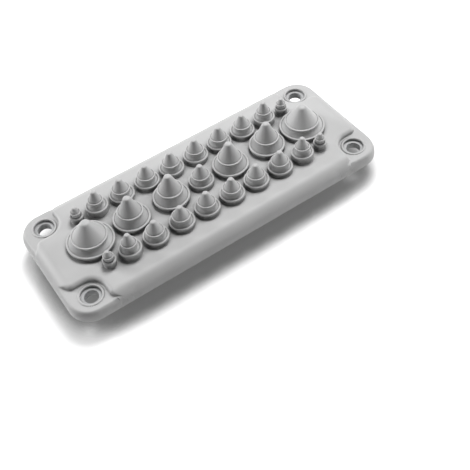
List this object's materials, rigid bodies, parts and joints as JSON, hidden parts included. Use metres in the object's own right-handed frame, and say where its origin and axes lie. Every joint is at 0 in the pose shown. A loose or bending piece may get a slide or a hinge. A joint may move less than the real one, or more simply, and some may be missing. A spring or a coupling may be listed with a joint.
{
  "type": "cable entry plate",
  "caption": "Flat multi-cable entry plate: a soft moulded cover over a hard carrier plate, with closed stepped nipples in front, open cable sleeves behind and a screw hole in each corner.",
  "frame": {"origin": "centre of the four screw holes on the carrier plate's back face, which lies on the cabinet wall", "axes": "+X along the plate's long side, +Y across it, +Z out of the front, where the nipples point"},
  "size_m": [0.2308, 0.0928, 0.0476],
  "materials": {
    "membrane": "light grey soft elastomer, satin, moulded",
    "carrier_plate": "light grey hard plastic, fine matt, moulded"
  },
  "bodies": {
    "root": {"membrane": "membrane", "carrier_plate": "carrier_plate"}
  },
  "joints": []
}
